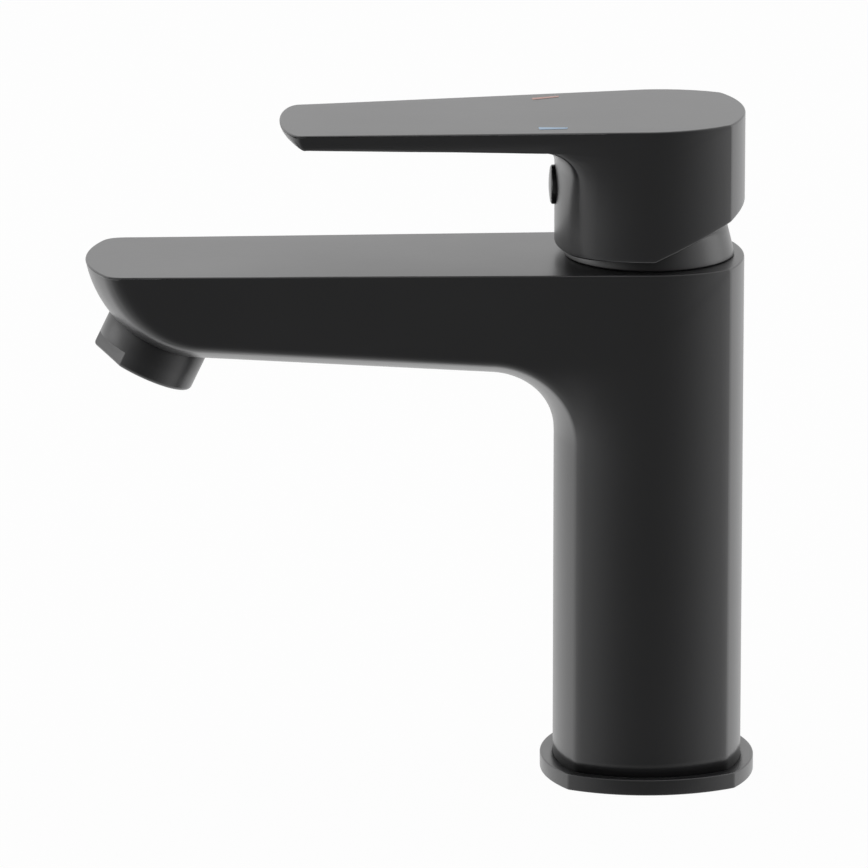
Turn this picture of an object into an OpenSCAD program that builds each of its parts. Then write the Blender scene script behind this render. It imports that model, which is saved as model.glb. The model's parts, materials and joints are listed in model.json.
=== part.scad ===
// Single-lever deck mixer for a wash basin.
// Origin: centre of the base flange's underside. +Z is up, the spout points towards -X.

/* [Column and spout] */
// Height of the body's flat top above the deck
body_top_z = 135; // [125:1:160]
// How far the column's front reaches past the thread of the cartridge's clamp nut
column_wall = 4; // [3.5:0.1:6]
// Half of the column's width less half of its depth
side_swell = 0.8; // [0.4:0.1:1.6]
// How far the column's front and rear bow out between their upright edges
front_bow = 4.4; // [3.6:0.1:5]
// How far the column's sides bow out between their upright edges
side_bow = 5.8; // [5:0.1:6.4]
// How much narrower the spout is at its nose than at the column, on each side
spout_taper = 2.5; // [0:0.1:4]
// Distance from the column axis to the nose's turning centre
nose_reach = 112.5; // [95:0.5:130]
// Height of the nose's turning centre above the body's top
nose_rise = 5.7; // [3:0.1:8]
// Radius of the nose at its middle
nose_r = 30.5; // [28:0.5:34]
// Radius of the hollow under the spout where it meets the column
throat_r = 17; // [12:1:22]

/* [Waterways] */
// Thickness of the floor that the cartridge stands on
floor_wall = 11; // [8:0.5:14]
// Distance of each supply riser from the middle plane
riser_y = 8.5; // [8:0.1:9]
// Distance of the supply risers from the column axis, towards the spout
riser_x = 3; // [2:0.5:4]
// Height of the lower end of the supply risers
riser_foot_z = 46; // [40:1:60]
// Radius of the supply thread's wall, for an M10 x 1 hose end
hose_thread_r = 4.5; // [4.2:0.1:4.7]
// Depth of the supply thread
hose_thread_depth = 12; // [8:1:16]
// Radius of the supply passage above the thread
supply_r = 3.2; // [2.5:0.1:3.6]
// Distance of the fixing stud from the column axis, away from the spout
stud_x = 10.5; // [10:0.1:11]
// Height of the lower end of the stud's boss
stud_boss_z = 30; // [24:1:40]
// Radius of the stud thread's wall, for M8
stud_thread_r = 3.4; // [3.2:0.1:3.6]
// Depth of the stud thread
stud_thread_depth = 20; // [12:1:26]
// Half height of the waterway through the spout
channel_r = 7; // [5:0.5:7.5]
// Depth of the waterway's axis below the body's top
channel_drop = 16; // [15:0.5:17]

/* [Cartridge] */
// Outer radius of the cartridge's housing
housing_r = 17.6; // [17:0.1:20]
// Wall of the cartridge's housing
housing_wall = 2.1; // [1.5:0.1:2.4]
// Height of the cartridge's base
base_h = 5.5; // [5:0.1:6]
// Thickness of each ceramic disc
disc_h = 3.5; // [3:0.1:4]
// Height of the carrier on the sliding disc
carrier_h = 3.5; // [3.2:0.1:4]
// Height of the rotor's wide foot
rotor_foot_h = 4; // [3.5:0.1:4.5]
// Depth of the lever's pivot below the body's top
pivot_drop = 7; // [6:0.1:7.5]
// Radius of the pivot pin
pivot_pin_r = 1.5; // [1.2:0.1:1.8]
// Side of the square spindle
spindle_side = 8; // [7:0.5:8]
// Height of the clamp nut
nut_h = 6; // [5:0.5:7]
// Furthest that the lever lifts, in degrees
lift_max = 25; // [15:1:25]
// Furthest that the lever turns to either side, in degrees
turn_max = 45; // [30:5:50]

/* [Cover dome] */
// How far the dome's foot reaches past the clamp nut's thread
dome_lip = 1.6; // [1.2:0.1:1.8]
// Height of the dome
dome_h = 11; // [10:0.5:12]
// Inward lean of the dome's sides, in degrees
dome_lean = 14; // [10:1:18]
// Gap between the dome and the hollow of the handle that turns round it
dome_gap = 0.3; // [0.3:0.1:0.5]
// Thickness of the dome's wall
dome_wall = 1; // [0.8:0.1:1.2]

/* [Handle] */
// Height of the handle's top above the body's top, over the column axis
handle_h = 36.8; // [34:0.1:42]
// Fall of the handle's top towards its tip, in degrees
handle_fall = 1.15; // [0:0.05:2]
// How much wider the hub is than the column, on each side
hub_swell = 0.6; // [0.2:0.1:1.2]
// How far the hub's front and rear bow out between its upright edges
hub_bow = 4.6; // [4:0.1:5]
// Height of the hub's underside above the body's top
hub_lift_z = 3.2; // [2.5:0.1:4]
// Thickness of the hub's wall at its lower edge
hub_wall = 1.6; // [1.2:0.1:2]
// Distance from the column axis to the lever's tip
lever_reach = 93.3; // [80:0.1:110]
// Half width of the lever at its tip
lever_tip_half_y = 18.9; // [16:0.1:21]
// Radius of the lever's corners at the tip
lever_corner_r = 6; // [3:0.5:8]
// Thickness of the lever over the column axis
lever_h = 5.7; // [4.5:0.1:8]
// Radius of the hollow under the lever where it meets the hub
lever_throat_r = 6.5; // [4:0.5:8]
// Height of the index plug and grub screw above the body's top
plug_rise = 18; // [17.8:0.1:20]
// Radius of the index plug
plug_r = 5; // [4:0.1:5.5]
// How far the index plug stands out of the hub
plug_proud = 1.5; // [0.5:0.1:2]
// Radius of the grub screw, for M5
grub_r = 2.5; // [2:0.1:2.5]

/* [Aerator] */
// Lean of the aerator from upright, in degrees
aerator_lean = 25.7; // [20:0.1:30]
// Outer radius of the aerator's collar
aerator_r = 13; // [12.6:0.1:14.6]
// How far the aerator stands out of the nose
aerator_drop = 7.7; // [5.5:0.1:9.5]
// Depth of the three key flats on the collar
key_flat_depth = 1.9; // [0.5:0.1:2.3]
// Height of the key flats
key_flat_h = 4; // [3:0.1:5]
// Distance between neighbouring outlet holes
outlet_pitch = 3.2; // [3:0.1:3.6]
// Radius of each outlet hole
outlet_hole_r = 0.9; // [0.6:0.1:1]

/* [Base flange] */
// How far the flange reaches past the column at the middle of its front
flange_lip = 3.3; // [2.5:0.1:8]
// How far the flange's sides bow out between its corners
flange_bow = 6.1; // [3:0.1:7]
// Thickness of the flange
flange_h = 4.1; // [3:0.1:8]
// Depth of the seal's groove in the flange's underside
base_seal_h = 1.4; // [1:0.1:2]

/* [Hidden] */
$fn = 96;
fit = 0.1;            // gap round a piece that is pushed or screwed in
run = 0.3;            // gap between pieces that slide past one another
cut = 1;              // how far a cutter reaches past the solid it cuts
body_paint = [0.07, 0.07, 0.075];
seal_black = [0.12, 0.12, 0.12];

// Cartridge, across its axis
housing_in_r = housing_r - housing_wall;
seat_room = 1.4;                     // from the housing to the wall of its well
seat_r = housing_r + seat_room;
nut_step = 1;                        // from the well's wall to the nut's thread
nut_r = seat_r + nut_step;
nut_room = 0.05;                     // from the nut's thread to the body's
rotor_step = 4.5;                    // from the rotor's foot to its neck
rotor_r = housing_in_r - rotor_step;
neck_wall = 2.7;
neck_r = rotor_r + run + neck_wall;
nut_in_r = neck_r + run;
disc_room = 3.3;                     // round the sliding disc when it is centred
moving_disc_r = housing_in_r - disc_room;
carrier_lip = 0.6;

// Cartridge, from the body's top downwards
nut_sink = 2;
nut_top_z = body_top_z - nut_sink;
nut_foot_z = nut_top_z - nut_h;
roof_h = 3.4;                        // housing's roof, with the groove of the upper seal
housing_roof_z = nut_foot_z - roof_h;
rotor_shoulder_z = housing_roof_z - run;
rotor_foot_z = rotor_shoulder_z - rotor_foot_h;
carrier_top_z = rotor_foot_z - run;
moving_top_z = carrier_top_z - carrier_h;
fixed_top_z = moving_top_z - disc_h;
base_top_z = fixed_top_z - disc_h;
seat_z = base_top_z - base_h;
base_shoulder_h = 3;
shoulder_z = seat_z + base_shoulder_h;
pivot_z = body_top_z - pivot_drop;
tip_sink = 0.5;                      // from the carrier's top down to the middle of the spindle's tip
tip_z = carrier_top_z - tip_sink;
tip_r = 2.4;
tip_neck_r = 1.8;
disc_travel = (pivot_z - tip_z) * lift_max * PI / 180;
disc_rest_x = disc_travel / 2;

// Cartridge, small features
base_pin_x = 7;
base_pin_y = 12.5;
base_pin_r = 1.9;
base_pin_depth = 3;
outlet_port_x = 6.5;
outlet_port_r = 3.6;
outlet_slot_h = 3;
seal_cord = 1.3;
disc_seal_h = 1;
seal_clear = 0.4;                    // from a port's edge to its seal
port_seal_r = supply_r + seal_clear + seal_cord;
housing_groove = 1;
housing_seal_h = 1.8;
mixing_x = 3.4;                      // mixing hollow, from the sliding disc's middle
mixing_half_y = 4;
mixing_r = 4.5;
mixing_depth = 2;
ring_h = 2;
ring_in_r = rotor_r + run;
tab_half_w = 2;
tab_out_r = neck_r - 0.8;
stop_room = 4;                       // degrees that the stops lie past the lever's furthest turn
stop_angle = turn_max + asin(tab_half_w / ring_in_r) + stop_room;
slot_wall = 2.8;
slot_half_x = rotor_r - slot_wall;
pin_inset = 0.5;
pin_half = rotor_r - pin_inset;
pin_grip = 0.02;                     // round the pin where the rotor holds it
pin_play = 0.06;                     // round the pin where the spindle turns on it
spindle_waist_drop = 6;
spindle_rise = 7;                    // from the grub screw up to the spindle's top
spindle_room = 0.05;
nut_notch_w = 4;
nut_notch_h = 2;

// Column
column_half_x = nut_r + column_wall;
column_half_y = column_half_x + side_swell;
column_corner_x = column_half_x - front_bow;
column_corner_y = column_half_y - side_bow;
column_foot_z = flange_h;
chamber_top_z = seat_z - floor_wall;
riser_wall = 2.3;
riser_boss_r = hose_thread_r + riser_wall;
stud_wall = 2.1;
stud_boss_r = stud_thread_r + stud_wall;

// Spout. Its underside touches the nose's circle and the throat's, so its slope fixes the throat
underside_slope = 3.3;               // degrees that the underside falls towards the column
side_step = 0.1;
root_inset = 0.2;                    // keeps the spout's lower edge inside the column's corners
spout_root_half_y = column_half_y - side_step;
nose_z = body_top_z + nose_rise;
throat_x = -column_half_x - throat_r;
under_fall = (nose_r * cos(underside_slope) + (nose_reach + throat_x + nose_r * sin(underside_slope)
    + throat_r * sin(underside_slope)) * tan(underside_slope));
throat_z = nose_z - under_fall - throat_r * cos(underside_slope);
full_width_rise = 23;                // from the throat up to where the spout has its whole width
spout_full_z = throat_z + full_width_rise;
spout_far = nose_reach + nose_r + cut;
crown_half = column_half_y + cut;    // half width of the crowned cutters
channel_z = body_top_z - channel_drop;
channel_past = 5;                    // past the nose's turning centre, into the aerator's port
channel_len = nose_reach + channel_past - seat_r + cut;

// Flange
flange_half = column_half_x + flange_lip;
flange_corner = flange_half - flange_bow;
flange_bite = 4.4;                   // how far the column covers the flange
flange_bore_r = column_half_x - flange_bite;
column_spigot_r = flange_bore_r - fit;
spigot_wall = 2;
chamber_r = column_spigot_r - spigot_wall;
spigot_lift = 0.2;
spigot_foot_z = base_seal_h + spigot_lift;
seal_inset = 1.4;
seal_width = 3;
base_seal_in_r = flange_bore_r + seal_inset;
base_seal_out_r = base_seal_in_r + seal_width;

// Hub, with a round hollow about the pivot that swings round the dome
hub_half_x = column_half_x;
hub_half_y = column_half_y + hub_swell;
hub_corner = hub_half_x - hub_bow;
hub_foot_z = body_top_z + hub_lift_z;
hollow_r = norm([hub_half_x - hub_wall, hub_foot_z - pivot_z]);
handle_top_z = body_top_z + handle_h;
lever_under_z = handle_top_z - lever_h;
plug_z = body_top_z + plug_rise;
plug_seat = 3;
plug_dome = 0.6;
grub_len = 10;
grub_key_r = 1.4;
grub_key_depth = 3;
socket_half = spindle_side / 2 + spindle_room;
spindle_top_z = plug_z + spindle_rise;
boss_back = 12;
boss_half_y = 6.5;
boss_clear = 1.5;                    // from the dome's top to the boss
dome_foot_z = body_top_z;
dome_top_z = body_top_z + dome_h;
boss_foot_z = dome_top_z + boss_clear;

// Dome
dome_r = nut_r + dome_lip;
dome_reach = hollow_r - dome_gap;    // furthest that the dome lies from the lift pivot
dome_mouth_r = sqrt(dome_reach * dome_reach - (dome_top_z - pivot_z) * (dome_top_z - pivot_z)) - dome_wall;
dome_floor_h = 1.6;
dome_floor_z = dome_foot_z + dome_floor_h;
gasket_h = 0.8;
dome_spigot_z = nut_top_z + gasket_h;
dome_spigot_wall = 2;
dome_spigot_in_r = nut_r - dome_spigot_wall;

// Aerator, measured along its own axis from the nose's turning centre
aerator_out = nose_r + aerator_drop;
collar_sink = 1.5;
collar_top = nose_r - collar_sink;
thread_len = 7;
thread_top = collar_top - thread_len;
aerator_gasket_h = 1.2;
gasket_top = thread_top - aerator_gasket_h;
port_len = 3.8;
port_top = gasket_top - port_len;
thread_step = 1.1;
aerator_thread_r = aerator_r - thread_step;
port_step = 2.5;
port_r = aerator_thread_r - port_step;
thread_wall = 1.7;
aerator_bore_r = aerator_thread_r - thread_wall;
lip_w = 1;
lip_r = aerator_bore_r - lip_w;
lip_h = 1.5;
insert_r = aerator_bore_r - fit;
insert_sink = 2.5;
insert_top = thread_top + insert_sink;
insert_out = aerator_out - lip_h;
insert_wall = 1.2;
outlet_plate_h = 3;
screen_h = 0.8;

// Radius of an arc that rises by sag over half a chord
function arc_r(half_chord, sag) = (half_chord * half_chord + sag * sag) / (2 * sag);

// Radius of the crown across the spout's underside, the same as the column's front has
crown_r = arc_r(column_corner_y, front_bow);

// Prism with four bowed sides and crisp corners
module bowed_prism(half_x, half_y, corner_x, corner_y, z0, z1) {
    x_arc = arc_r(corner_y, half_x - corner_x);
    y_arc = arc_r(corner_x, half_y - corner_y);
    translate([0, 0, z0]) linear_extrude(z1 - z0) intersection() {
        translate([half_x - x_arc, 0]) circle(x_arc, $fn = 720);
        translate([x_arc - half_x, 0]) circle(x_arc, $fn = 720);
        translate([0, half_y - y_arc]) circle(y_arc, $fn = 720);
        translate([0, y_arc - half_y]) circle(y_arc, $fn = 720);
    }
}

// Hollow tube standing on z0
module tube(out_r, in_r, z0, z1) {
    translate([0, 0, z0]) difference() {
        cylinder(r = out_r, h = z1 - z0);
        translate([0, 0, -cut]) cylinder(r = in_r, h = z1 - z0 + 2 * cut);
    }
}

// Moves what follows onto the aerator's axis, whose +Z runs up the axis to the turning centre
module on_aerator_axis() {
    translate([-nose_reach, 0, nose_z]) rotate([0, aerator_lean, 0]) children();
}

// Cylinder on the aerator's axis between two distances from the turning centre
module aerator_disc(r, near, far) {
    translate([0, 0, -far]) cylinder(r = r, h = far - near);
}

// Round nose: a barrel turned about a cross axis, crowned across its width
module nose_barrel() {
    translate([-nose_reach, 0, nose_z]) rotate([90, 0, 0]) rotate_extrude($fn = 360) intersection() {
        translate([nose_r - crown_r, 0]) circle(crown_r, $fn = 720);
        translate([0, -crown_half]) square([nose_r + cut, 2 * crown_half]);
    }
}

// Body of the straight underside, a crowned bar along the slope
module underside_bar() {
    translate([-nose_reach, 0, nose_z]) rotate([0, 90 + underside_slope, 0])
        translate([nose_r - crown_r, 0, -nose_reach]) cylinder(r = crown_r, h = 3 * nose_reach, $fn = 720);
}

// Cutter for a crowned hollow: the inside of a ring turned about a cross axis
module throat_cutter(x, z, r) {
    translate([x, 0, z]) rotate([90, 0, 0]) rotate_extrude($fn = 360) difference() {
        translate([0, -crown_half]) square([r + crown_r, 2 * crown_half]);
        translate([r + crown_r, 0]) circle(crown_r, $fn = 720);
    }
}

// Spout's outline seen from above, longer than the nose
module spout_plan() {
    far_half = spout_root_half_y - spout_taper * spout_far / (nose_reach + nose_r);
    polygon([[0, -spout_root_half_y], [0, spout_root_half_y],
        [-spout_far, far_half], [-spout_far, -far_half]]);
}

// Spout's outline seen from the front: it narrows to the column below
module spout_front() {
    root_half = column_corner_y - root_inset;
    polygon([[-root_half, throat_z], [root_half, throat_z],
        [spout_root_half_y, spout_full_z], [spout_root_half_y, body_top_z],
        [-spout_root_half_y, body_top_z], [-spout_root_half_y, spout_full_z]]);
}

module spout_block() {
    intersection() {
        translate([0, 0, throat_z]) linear_extrude(body_top_z - throat_z) spout_plan();
        rotate([90, 0, -90]) linear_extrude(spout_far) spout_front();
    }
}

// Half space in front of the plane through an axis across the body, square to the underside
module fore_of(x, z) {
    translate([x, 0, z]) rotate([0, underside_slope, 0]) translate([-2 * spout_far, -spout_far, -spout_far])
        cube(2 * spout_far);
}

// The column, and the spout in three lengths: the nose, the straight underside and the throat
module body_shell() {
    bowed_prism(column_half_x, column_half_y, column_corner_x, column_corner_y, column_foot_z, body_top_z);
    intersection() {
        spout_block();
        nose_barrel();
        fore_of(-nose_reach, nose_z);
    }
    intersection() {
        spout_block();
        underside_bar();
        difference() {
            fore_of(throat_x, throat_z);
            fore_of(-nose_reach, nose_z);
        }
    }
    difference() {
        spout_block();
        fore_of(throat_x, throat_z);
        throat_cutter(throat_x, throat_z, throat_r);
    }
}

// Flat-sided bore along the spout, from the cartridge's well to the aerator's port
module waterway() {
    translate([-nose_reach - channel_past, 0, channel_z]) rotate([0, 90, 0]) {
        for (side = [-1, 1]) translate([0, side * channel_r, 0]) cylinder(r = channel_r, h = channel_len);
        translate([-channel_r, -channel_r, 0]) cube([2 * channel_r, 2 * channel_r, channel_len]);
    }
}

module body() {
    color(body_paint) difference() {
        union() {
            body_shell();
            translate([0, 0, spigot_foot_z])
                cylinder(r = column_spigot_r, h = column_foot_z - spigot_foot_z + cut);
        }
        // hollow for the hoses, with the risers and the stud's boss left standing in it
        difference() {
            translate([0, 0, -cut]) cylinder(r = chamber_r, h = chamber_top_z + cut);
            for (side = [-1, 1]) translate([-riser_x, side * riser_y, riser_foot_z])
                cylinder(r = riser_boss_r, h = chamber_top_z);
            translate([stud_x, 0, stud_boss_z]) cylinder(r = stud_boss_r, h = chamber_top_z);
        }
        for (side = [-1, 1]) translate([-riser_x, side * riser_y, riser_foot_z]) {
            translate([0, 0, -cut]) cylinder(r = hose_thread_r, h = hose_thread_depth + cut);
            cylinder(r = supply_r, h = seat_z - riser_foot_z + cut);
        }
        translate([stud_x, 0, stud_boss_z - cut]) cylinder(r = stud_thread_r, h = stud_thread_depth + cut);
        // well for the cartridge and thread for its nut
        translate([0, 0, seat_z]) cylinder(r = seat_r, h = body_top_z);
        translate([0, 0, nut_foot_z - cut]) cylinder(r = nut_r + nut_room, h = body_top_z);
        for (side = [-1, 1]) translate([base_pin_x, side * base_pin_y, seat_z - base_pin_depth - fit])
            cylinder(r = base_pin_r + fit, h = base_pin_depth + fit + cut);
        // waterway along the spout
        waterway();
        on_aerator_axis() {
            aerator_disc(port_r, port_top, aerator_out);
            aerator_disc(aerator_thread_r + fit, gasket_top, aerator_out);
            aerator_disc(aerator_r + fit, collar_top, aerator_out);
        }
    }
}

module base_flange() {
    color(body_paint) difference() {
        bowed_prism(flange_half, flange_half, flange_corner, flange_corner, 0, flange_h);
        translate([0, 0, -cut]) cylinder(r = flange_bore_r, h = flange_h + 2 * cut);
        tube(base_seal_out_r, base_seal_in_r, -cut, base_seal_h);
    }
}

module base_seal() {
    color(seal_black) tube(base_seal_out_r - fit, base_seal_in_r + fit, 0, base_seal_h);
}

// One ring round each of the two supply ports
module port_rings(z0, h) {
    for (side = [-1, 1]) translate([-riser_x, side * riser_y, 0])
        tube(port_seal_r, supply_r + seal_clear, z0, z0 + h);
}

module port_seals() {
    color(seal_black) port_rings(seat_z, seal_cord);
}

module cartridge_base() {
    color("whitesmoke") difference() {
        union() {
            translate([0, 0, seat_z]) cylinder(r = housing_r, h = shoulder_z - seat_z);
            translate([0, 0, seat_z]) cylinder(r = housing_in_r - fit, h = base_h);
            for (side = [-1, 1]) translate([base_pin_x, side * base_pin_y, seat_z - base_pin_depth])
                cylinder(r = base_pin_r, h = base_pin_depth + cut);
        }
        for (side = [-1, 1]) translate([-riser_x, side * riser_y, seat_z - cut]) {
            cylinder(r = supply_r, h = base_h + 2 * cut);
            cylinder(r = port_seal_r + fit, h = seal_cord + cut);
            translate([0, 0, base_h - disc_seal_h + cut]) cylinder(r = port_seal_r + fit, h = base_h);
        }
        translate([outlet_port_x, 0, base_top_z - outlet_slot_h])
            cylinder(r = outlet_port_r, h = outlet_slot_h + cut);
        translate([outlet_port_x, -outlet_port_r, base_top_z - outlet_slot_h])
            cube([housing_r, 2 * outlet_port_r, outlet_slot_h + cut]);
    }
}

module disc_seals() {
    color("firebrick") port_rings(base_top_z - disc_seal_h, disc_seal_h);
}

module fixed_disc() {
    color("ghostwhite") translate([0, 0, base_top_z]) difference() {
        cylinder(r = housing_in_r - fit, h = disc_h);
        for (side = [-1, 1]) translate([-riser_x, side * riser_y, -cut])
            cylinder(r = supply_r, h = disc_h + 2 * cut);
        translate([outlet_port_x, 0, -cut]) cylinder(r = outlet_port_r, h = disc_h + 2 * cut);
    }
}

module moving_disc() {
    color("gainsboro") translate([disc_rest_x, 0, fixed_top_z]) difference() {
        cylinder(r = moving_disc_r, h = disc_h);
        for (side = [-1, 1]) translate([mixing_x, side * mixing_half_y, -cut])
            cylinder(r = mixing_r, h = mixing_depth + cut);
        translate([mixing_x - mixing_r, -mixing_half_y, -cut])
            cube([2 * mixing_r, 2 * mixing_half_y, mixing_depth + cut]);
    }
}

module disc_carrier() {
    color("khaki") difference() {
        translate([disc_rest_x, 0, moving_top_z]) cylinder(r = moving_disc_r + carrier_lip, h = carrier_h);
        translate([0, 0, moving_top_z - cut]) cylinder(r = tip_r + run, h = carrier_h + 2 * cut);
    }
}

module rotor() {
    color("ivory") difference() {
        union() {
            translate([0, 0, rotor_foot_z]) cylinder(r = housing_in_r - run, h = rotor_foot_h);
            translate([0, 0, rotor_foot_z]) cylinder(r = rotor_r, h = nut_top_z + ring_h - rotor_foot_z);
            translate([0, -tab_half_w, nut_top_z + run]) cube([tab_out_r, 2 * tab_half_w, ring_h - run]);
        }
        translate([-slot_half_x, -spindle_side / 2 - run, rotor_foot_z - cut])
            cube([2 * slot_half_x, spindle_side + 2 * run, nut_top_z]);
        translate([0, rotor_r + cut, pivot_z]) rotate([90, 0, 0])
            cylinder(r = pivot_pin_r + pin_grip, h = 2 * (rotor_r + cut));
    }
}

module spindle_pin() {
    color("silver") translate([0, pin_half, pivot_z]) rotate([90, 0, 0])
        cylinder(r = pivot_pin_r, h = 2 * pin_half);
}

module spindle() {
    color("silver") difference() {
        union() {
            translate([-spindle_side / 2, -spindle_side / 2, pivot_z - spindle_waist_drop])
                cube([spindle_side, spindle_side, spindle_top_z - pivot_z + spindle_waist_drop]);
            translate([0, 0, tip_z]) cylinder(r = tip_neck_r, h = pivot_z - tip_z);
            translate([0, 0, tip_z]) sphere(tip_r);
        }
        translate([0, spindle_side, pivot_z]) rotate([90, 0, 0])
            cylinder(r = pivot_pin_r + pin_play, h = 2 * spindle_side);
    }
}

module cartridge_housing() {
    color("whitesmoke") difference() {
        union() {
            translate([0, 0, shoulder_z]) cylinder(r = housing_r, h = nut_foot_z - shoulder_z);
            translate([0, 0, shoulder_z]) cylinder(r = neck_r, h = nut_top_z - shoulder_z);
        }
        translate([0, 0, shoulder_z - cut]) cylinder(r = housing_in_r, h = housing_roof_z - shoulder_z + cut);
        translate([0, 0, shoulder_z]) cylinder(r = rotor_r + run, h = nut_top_z);
        // groove of the upper seal
        tube(housing_r + cut, housing_r - housing_groove, housing_roof_z, housing_roof_z + housing_seal_h);
        // side window that lets the mixed water out
        translate([outlet_port_x, -outlet_port_r, shoulder_z - cut])
            cube([housing_r, 2 * outlet_port_r, base_top_z - shoulder_z + cut]);
    }
}

module housing_seal() {
    color(seal_black)
        tube(seat_r, housing_r - housing_groove, housing_roof_z, housing_roof_z + housing_seal_h);
}

module cartridge_nut() {
    color("goldenrod") difference() {
        tube(nut_r, nut_in_r, nut_foot_z, nut_top_z);
        for (turn = [0 : 90 : 270]) rotate([0, 0, turn + 45])
            translate([nut_in_r - cut, -nut_notch_w / 2, nut_top_z - nut_notch_h])
                cube([nut_r, nut_notch_w, nut_notch_h + cut]);
    }
}

// Ring on the housing whose gap lets the rotor's tab turn only so far
module temperature_limit_ring() {
    color("crimson") difference() {
        tube(neck_r, ring_in_r, nut_top_z, nut_top_z + ring_h);
        for (turn = [-stop_angle, stop_angle - 90]) rotate([0, 0, turn])
            translate([0, 0, nut_top_z - cut]) cube([neck_r + cut, neck_r + cut, ring_h + 2 * cut]);
    }
}

module dome_gasket() {
    color(seal_black) tube(nut_r - fit, dome_spigot_in_r, nut_top_z, dome_spigot_z);
}

// Half section of a cap: sides that lean inwards under a round top centred on the pivot
module cap_section(foot_r, round_r, foot_z, top_z) {
    top_r = foot_r - (top_z - foot_z) * tan(dome_lean);
    intersection() {
        translate([0, pivot_z]) circle(round_r, $fn = 360);
        polygon([[0, foot_z], [foot_r, foot_z], [top_r, top_z], [0, top_z]]);
    }
}

module cover_dome() {
    color(body_paint) rotate_extrude($fn = 180) difference() {
        union() {
            cap_section(dome_r, dome_reach, dome_foot_z, dome_top_z);
            translate([0, dome_spigot_z]) square([nut_r, dome_floor_z - dome_spigot_z]);
        }
        cap_section(dome_r - dome_wall, dome_reach - dome_wall, dome_floor_z, dome_top_z + cut);
        translate([0, dome_foot_z]) square([dome_mouth_r, dome_h + cut]);
        translate([0, dome_spigot_z - cut]) square([dome_spigot_in_r, dome_floor_z - dome_spigot_z + 2 * cut]);
    }
}

// Lever's outline seen from above, with round corners at its tip
module lever_plan() {
    tip = [-lever_reach + lever_corner_r, lever_tip_half_y - lever_corner_r];
    far = [for (a = [90 : 10 : 180]) tip + lever_corner_r * [cos(a), sin(a)]];
    near = [for (i = [len(far) - 1 : -1 : 0]) [far[i][0], -far[i][1]]];
    polygon(concat([[0, -hub_half_y], [0, hub_half_y]], far, near));
}

// Handle before its top and rear are cut to their slopes
module handle_blank() {
    spare = lever_h;
    bowed_prism(hub_half_x, hub_half_y, hub_corner, hub_corner, hub_foot_z, handle_top_z + spare);
    translate([0, 0, lever_under_z]) linear_extrude(lever_h + spare) lever_plan();
    throat_back = -hub_half_x - lever_throat_r;
    difference() {
        translate([throat_back, -hub_corner, lever_under_z - lever_throat_r])
            cube([lever_throat_r + hub_half_x, 2 * hub_corner, lever_throat_r]);
        throat_cutter(throat_back, lever_under_z - lever_throat_r, lever_throat_r);
    }
}

module handle() {
    color(body_paint) difference() {
        handle_blank();
        // top, falling towards the tip
        translate([0, 0, handle_top_z]) rotate([0, -handle_fall, 0])
            translate([-2 * lever_reach, -crown_half, 0]) cube([3 * lever_reach, 2 * crown_half, handle_h]);
        // rear underside, cut so that it lies level when the lever is lifted
        translate([0, 0, hub_foot_z]) rotate([0, -lift_max, 0])
            translate([0, -crown_half, -handle_h]) cube([3 * crown_half, 2 * crown_half, handle_h]);
        // hollow that swings round the dome, with the boss of the grub screw left in it
        difference() {
            translate([0, 0, pivot_z]) sphere(hollow_r, $fn = 180);
            translate([-boss_back, -boss_half_y, boss_foot_z]) cube([boss_back, 2 * boss_half_y, hollow_r]);
        }
        translate([-socket_half, -socket_half, boss_foot_z - cut])
            cube([2 * socket_half, 2 * socket_half, spindle_top_z + run - boss_foot_z + cut]);
        translate([-hub_half_x - cut, 0, plug_z]) rotate([0, 90, 0]) {
            cylinder(r = grub_r + spindle_room, h = hub_half_x + cut);
            cylinder(r = plug_r + fit, h = plug_seat + cut);
        }
    }
}

module handle_grub_screw() {
    screw_x = -spindle_side / 2 - grub_len;
    color("dimgray") translate([screw_x, 0, plug_z]) rotate([0, 90, 0]) difference() {
        cylinder(r = grub_r, h = grub_len);
        translate([0, 0, -cut]) cylinder(r = grub_key_r, h = grub_key_depth + cut, $fn = 6);
    }
}

module index_plug() {
    crown = arc_r(plug_r, plug_dome);
    color(body_paint) translate([-hub_half_x + plug_seat, 0, plug_z]) rotate([0, -90, 0]) intersection() {
        cylinder(r = plug_r, h = plug_seat + plug_proud);
        translate([0, 0, plug_seat + plug_proud - crown]) sphere(crown, $fn = 180);
    }
}

module aerator_housing() {
    color("dimgray") on_aerator_axis() difference() {
        union() {
            aerator_disc(aerator_r, collar_top, aerator_out);
            aerator_disc(aerator_thread_r, thread_top, collar_top + cut);
        }
        aerator_disc(aerator_bore_r, thread_top - cut, aerator_out - lip_h);
        aerator_disc(lip_r, thread_top, aerator_out + cut);
        for (turn = [90 : 120 : 330]) rotate([0, 0, turn])
            translate([aerator_r - key_flat_depth, -aerator_r, -aerator_out - cut])
                cube([aerator_r, 2 * aerator_r, key_flat_h + cut]);
    }
}

// Rings of holes round a centre hole, as on an outlet plate
module hole_rings(hole_r, near, far) {
    aerator_disc(hole_r, near, far);
    for (ring = [1, 2]) for (i = [0 : 6 * ring - 1]) rotate([0, 0, i * 60 / ring])
        translate([ring * outlet_pitch, 0, 0]) aerator_disc(hole_r, near, far);
}

module aerator_insert() {
    color("lightgray") on_aerator_axis() difference() {
        aerator_disc(insert_r, insert_top, insert_out);
        aerator_disc(insert_r - insert_wall, insert_top - cut, insert_out - outlet_plate_h);
        hole_rings(outlet_hole_r, insert_top, insert_out + cut);
    }
}

module aerator_screen() {
    color("silver") on_aerator_axis() difference() {
        aerator_disc(insert_r, insert_top - screen_h, insert_top);
        hole_rings(outlet_hole_r / 2, insert_top - screen_h - cut, insert_top + cut);
    }
}

module aerator_gasket() {
    color(seal_black) on_aerator_axis() difference() {
        aerator_disc(aerator_thread_r - fit, gasket_top, thread_top);
        aerator_disc(port_r, gasket_top - cut, thread_top + cut);
    }
}

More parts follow.
